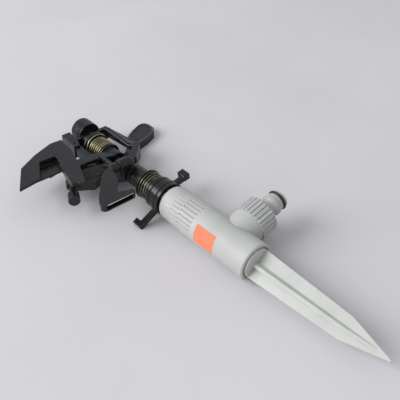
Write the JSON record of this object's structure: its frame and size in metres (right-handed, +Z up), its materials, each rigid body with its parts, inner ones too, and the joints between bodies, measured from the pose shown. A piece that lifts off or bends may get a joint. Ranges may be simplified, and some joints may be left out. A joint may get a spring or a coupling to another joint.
{
  "type": "impact sprinkler on ground spike",
  "caption": "Impact lawn sprinkler: turning plastic head with sprung hammer arm, trip lever and stop rings on a side-inlet body with a ground spike.",
  "frame": {"origin": "on the spin axis at the bottom rim of the body, where the spike enters and the soil surface lies", "axes": "+Z up along the spin axis from the spike to the head, +X along the hose inlet, away from the body"},
  "size_m": [0.1502, 0.065, 0.3403],
  "materials": {
    "body_grey": "satin light grey",
    "spike_grey": "satin light grey",
    "connector_grey": "satin light grey",
    "black_plastic": "satin black, finely grained",
    "black_moulding": "satin black",
    "black_rubber": "soft matt",
    "white_washer": "waxy",
    "steel_pin": "turned",
    "spring_steel": "drawn wire",
    "brass_wire": "dull drawn wire",
    "brass_bush": "turned",
    "label_orange": "paper sticker, coral"
  },
  "bodies": {
    "base": {"body_housing": "body_grey", "spike": "spike_grey", "connector_nut": "connector_grey", "connector_nipple": "connector_grey", "nipple_o_ring": "black_rubber", "connector_washer": "black_rubber", "bearing_nipple": "black_moulding", "bearing_gasket": "black_rubber", "price_label": "label_orange"},
    "lower_stop": {"lower_stop_ring": "black_moulding"},
    "upper_stop": {"upper_stop_ring": "black_moulding"},
    "head": {"head_frame": "black_plastic", "turning_tube": "black_moulding", "thrust_washer": "white_washer", "thrust_seal": "black_rubber", "bearing_spring": "spring_steel", "spring_washer": "black_moulding", "nozzle_insert": "black_moulding", "arm_pivot_pin": "steel_pin", "torsion_spring": "brass_wire", "spring_anchor": "black_moulding", "trip_pin": "black_moulding", "trip_spring": "spring_steel", "knob_screw": "steel_pin"},
    "arm": {"hammer_arm": "black_plastic", "arm_bush": "brass_bush", "arm_weight": "black_moulding"},
    "trip": {"trip_lever": "black_plastic"},
    "knob": {"tension_knob": "black_moulding"},
    "diffuser_screw": {"diffuser_stem": "black_moulding"},
    "diffuser_grip": {"diffuser_knob": "black_moulding"}
  },
  "joints": [
    {"name": "lower_stop_turn", "type": "hinge", "parent": "base", "child": "lower_stop", "pos_m": [0, 0, 0.098], "axis": [0, 0, 1], "range_deg": [-40, 10]},
    {"name": "upper_stop_turn", "type": "hinge", "parent": "base", "child": "upper_stop", "pos_m": [0, 0, 0.106], "axis": [0, 0, 1], "range_deg": [-10, 40]},
    {"name": "head_turn", "type": "hinge", "parent": "base", "child": "head", "pos_m": [0, 0, 0.12], "axis": [0, 0, 1], "range_deg": [-22, 110]},
    {"name": "arm_swing", "type": "hinge", "parent": "head", "child": "arm", "pos_m": [0, 0, 0.17], "axis": [0, 0, 1], "range_deg": [0, 40], "stiffness_Nm_per_rad": 0.03, "springref_deg": -28.65},
    {"name": "trip_tilt", "type": "hinge", "parent": "head", "child": "trip", "pos_m": [-0.02075, -0.02012, 0.14152], "axis": [0.9703, 0.2419, 0], "range_deg": [-8, 8]},
    {"name": "knob_spin", "type": "hinge", "parent": "head", "child": "knob", "pos_m": [0.00446, -0.00219, 0.218], "axis": [0, 0, 1], "continuous": true},
    {"name": "diffuser_travel", "type": "slide", "parent": "head", "child": "diffuser_screw", "axis": [0.4405, 0.1098, 0.891], "range_m": [0, 0.004]},
    {"name": "diffuser_turn", "type": "hinge", "parent": "diffuser_screw", "child": "diffuser_grip", "pos_m": [-0.05543, -0.01382, 0.1461], "axis": [0.4405, 0.1098, 0.891], "range_deg": [0, 960]}
  ],
  "couplings": [
    {"joint": "diffuser_turn", "follows": "diffuser_travel", "rad_per_m": 4188.8}
  ]
}
